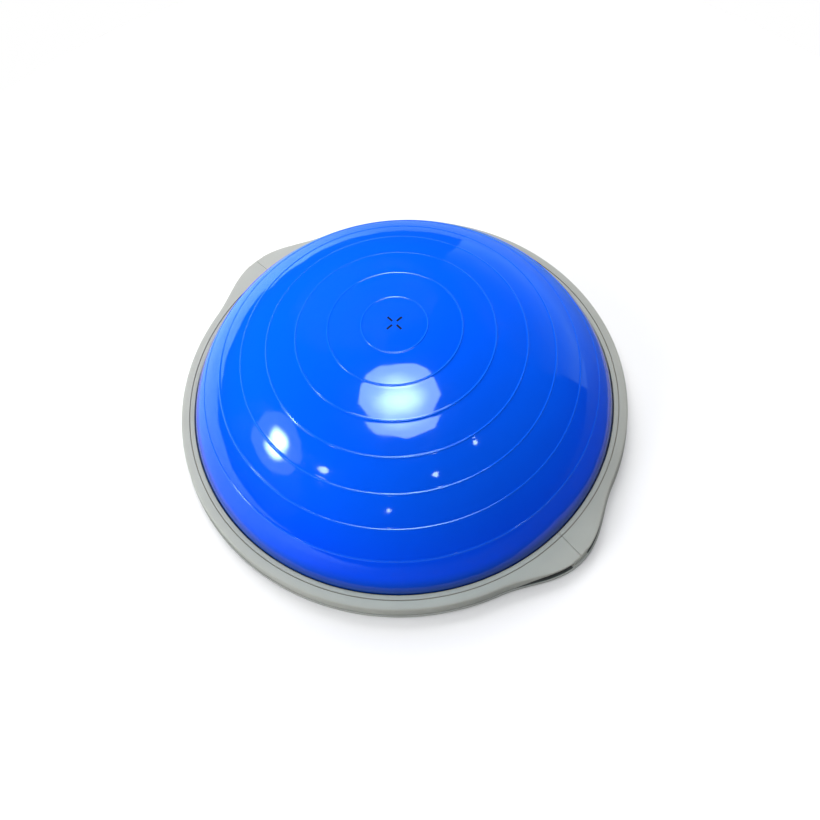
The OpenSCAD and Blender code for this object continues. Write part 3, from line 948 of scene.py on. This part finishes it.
plug_low, plug_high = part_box("valve_plug")
plug_r = plug_high.x
stem_r = 4 * MM
plug_white = Finish("plug_white", Specular_IOR_Level=0.45)
plug_white.show(Base_Color=plug_white.mix(plug_white.noise(160.0), (0.70, 0.70, 0.67),
                                          (0.60, 0.60, 0.56)),
                Roughness=0.34 + plug_white.noise(800.0) * 0.12,
                Normal=plug_white.bump(plug_white.noise(1500.0), 0.00003))
head_top = seat_low.z
dish_r = 5.2 * MM
dish_z = plug_low.z + 0.8 * MM
plug = turned("plug", arc_corners([
    (0, dish_z, 0), (dish_r, dish_z, 0.5 * MM),
    (dish_r + 0.6 * MM, plug_low.z, 0.4 * MM), (plug_r, plug_low.z, 0.8 * MM),
    (plug_r, head_top - 0.5 * MM, 0.4 * MM), (plug_r - 0.6 * MM, head_top, 0.2 * MM),
    (stem_r, head_top, 0.1 * MM), (stem_r, plug_high.z - 2 * MM, 0.4 * MM),
    (stem_r - 1 * MM, plug_high.z, 0.5 * MM), (0, plug_high.z, 0)]), plug_white, 64, ring=False)
finished(plug, "plug", "plug", "plug_plastic", "valve_plug")

# ---------------------------------------------------------------- studio
# A white floor, painted dim with light and shade where glossy faces mirror it, lamps and a window that
# only glossy faces mirror, four broad suns that light without showing in the gloss, and the camera.

floor_paint = Finish("floor_paint", Specular_IOR_Level=0.0, Roughness=0.9)
fx, fy, _ = floor_paint.parts(floor_paint.place)
# Painted light and shade: where gloss mirrors it, the floor is painted dim, lighter towards the back
# and the left and darkest at the front right, as if in the object's shade.
lit_side = (floor_paint.ramp(fx * -0.87 + fy * 0.5, -0.30, 0.35, 0.07, 0.32)
            + floor_paint.ramp(fx * -0.7 + fy * -0.7, 0.05, 0.42, 0.0, 0.50))
mirrored = floor_paint.node("ShaderNodeLightPath", out="Is Glossy Ray")
dim = floor_paint.node("ShaderNodeCombineXYZ", None,
                       {"X": lit_side * 0.5, "Y": lit_side, "Z": lit_side * 1.2})
white = floor_paint.mix(floor_paint.noise(3.0), (0.83, 0.83, 0.84), (0.86, 0.86, 0.87))
floor_paint.show(Base_Color=floor_paint.mix(mirrored, white, dim))
floor_r = 0.95
floor_sides = 128
floor = linked("floor", plain_mesh("floor", [
    (floor_r * math.cos(math.tau * k / floor_sides), floor_r * math.sin(math.tau * k / floor_sides), 0)
    for k in range(floor_sides)], [tuple(range(floor_sides))]))
floor.data.materials.append(floor_paint.material)

lamp_distance = 2.0
lamp_centre = Vector((0, 0, 0.12))


def towards(azimuth, elevation):
    """Unit vector to a direction, given in degrees."""
    azimuth = math.radians(azimuth)
    elevation = math.radians(elevation)
    return Vector((math.cos(elevation) * math.cos(azimuth),
                   math.cos(elevation) * math.sin(azimuth), math.sin(elevation)))


def glowing(thing, colour, reach, strengths, spot=None):
    """Makes the piece a lamp that only gloss mirrors. Its strength changes over a reach of the
    distance from the spot or, without a spot, of the height."""
    material = bpy.data.materials.new(thing.name)
    material.use_nodes = True
    light = Nodes(material.node_tree)
    light.tree.nodes.remove(light.tree.nodes["Principled BSDF"])
    where = light.node("ShaderNodeNewGeometry", out="Position")
    measure = light.parts(where)[2] if spot is None else light.node(
        "ShaderNodeVectorMath", {"operation": "DISTANCE"}, {0: where, 1: spot}, out="Value")
    bright = light.node("ShaderNodeMapRange", {"interpolation_type": "SMOOTHSTEP"},
                        {"Value": measure, "From Min": reach[0], "From Max": reach[1],
                         "To Min": strengths[0], "To Max": strengths[1]})
    emit = light.node("ShaderNodeEmission", None, {"Color": (*colour, 1.0), "Strength": bright})
    light.feed(light.tree.nodes["Material Output"].inputs["Surface"], emit)
    thing.data.materials.append(material)
    thing.visible_camera = False
    thing.visible_diffuse = False


def lamp_face(name, azimuth, elevation, radius, sides, middle, edge, core, colour):
    """A glowing flat polygon that faces the dome, from its middle to its edge."""
    aimed = towards(azimuth, elevation)
    spot = aimed * lamp_distance + lamp_centre
    turn = aimed.to_track_quat("Z", "Y").to_matrix().to_4x4()
    steps = 96
    outline = []
    for k in range(steps):
        a = math.tau * k / steps
        off = (a + math.pi / sides) % (math.tau / sides) - math.pi / sides
        r = radius * math.cos(math.pi / sides) / math.cos(off)
        outline.append((r * math.cos(a), r * math.sin(a), 0.0))
    mesh = plain_mesh(name, [(0, 0, 0)] + outline,
                      [(0, k + 1, (k + 1) % steps + 1) for k in range(steps)])
    mesh.transform(Matrix.Translation(spot) @ turn)
    glowing(linked(name, mesh), colour, (0.0, radius * core), (middle, edge), spot)


box_light = (0.62, 0.90, 1.0)
lamp_light = (0.72, 0.95, 1.0)
lamp_face("top_box", -60, 86.5, 0.68, 8, 22.0, 6.5, 0.8, box_light)
lamp_face("left_box", -118.9, 27.2, 0.50, 32, 45.0, 1.2, 0.55, box_light)
for k, (azimuth, elevation, size) in enumerate((
        (-91.3, 36.9, 0.085), (-21.3, 46.3, 0.06), (-50.7, 30.8, 0.045), (13.3, 50.6, 0.055))):
    lamp_face(f"lamp_{k}", azimuth, elevation, size, 32, 13.0, 13.0, 0.5, lamp_light)

# A tall window behind on the right, which pales the skin that mirrors it.
pane_columns = [64 + 4 * k for k in range(16)]
pane_rows = [-10 + 4 * k for k in range(11)]
tall = len(pane_rows)
pane = linked("window_pane", plain_mesh(
    "window_pane", [towards(a, e) * lamp_distance for a in pane_columns for e in pane_rows],
    [(i * tall + j, i * tall + j + 1, (i + 1) * tall + j + 1, (i + 1) * tall + j)
     for i in range(len(pane_columns) - 1) for j in range(tall - 1)]))
glowing(pane, (0.40, 0.85, 1.0), (-0.3, 1.0), (0.8, 0.05))

for name, azimuth, elevation, power in (
        ("overhead", -60, 86, 1.6), ("window", 155, 38, 2.7), ("left_fill", -120, 15, 4.3),
        ("right_fill", 95, 15, 1.5)):
    sun = bpy.data.lights.new(name, "SUN")
    sun.energy = power
    sun.angle = math.radians(50)
    lamp = linked(name, sun)
    lamp.matrix_world = towards(azimuth, elevation).to_track_quat("Z", "Y").to_matrix().to_4x4()
    lamp.visible_glossy = False

world = bpy.data.worlds.new("studio")
bpy.context.scene.world = world
world.use_nodes = True
sky = Nodes(world.node_tree)
seen = sky.node("ShaderNodeLightPath", out="Is Camera Ray")
mirrored = sky.node("ShaderNodeLightPath", out="Is Glossy Ray")
soft = sky.node("ShaderNodeMix", {"data_type": "RGBA"},
                {"Factor": mirrored, 6: (0.20, 0.21, 0.22, 1.0), 7: (0.02, 0.03, 0.05, 1.0)}, out=2)
room = sky.node("ShaderNodeMix", {"data_type": "RGBA"},
                {"Factor": seen, 6: soft, 7: (1.0, 1.0, 1.0, 1.0)}, out=2)
sky.feed(world.node_tree.nodes["Background"].inputs["Color"], room)

camera_distance = 1.236
camera_roll = math.radians(-5.84)
aim = Vector((0.0167, -0.0030, 0.0))
stand = camera_distance * towards(-37.3, 60.5)
ahead = (aim - stand).normalized()
level = ahead.cross(Vector((0, 0, 1))).normalized()
upright = level.cross(ahead)
right = math.cos(camera_roll) * level + math.sin(camera_roll) * upright
up = -math.sin(camera_roll) * level + math.cos(camera_roll) * upright
lens = bpy.data.cameras.new("camera")
lens.sensor_width = 36.0
lens.lens = 39.5
camera = bpy.data.objects.new("camera", lens)
bpy.context.scene.collection.objects.link(camera)
turn = Matrix((right, up, -ahead)).transposed().to_4x4()
camera.matrix_world = Matrix.Translation(stand) @ turn
bpy.context.scene.camera = camera
bpy.context.scene.view_settings.view_transform = "Standard"
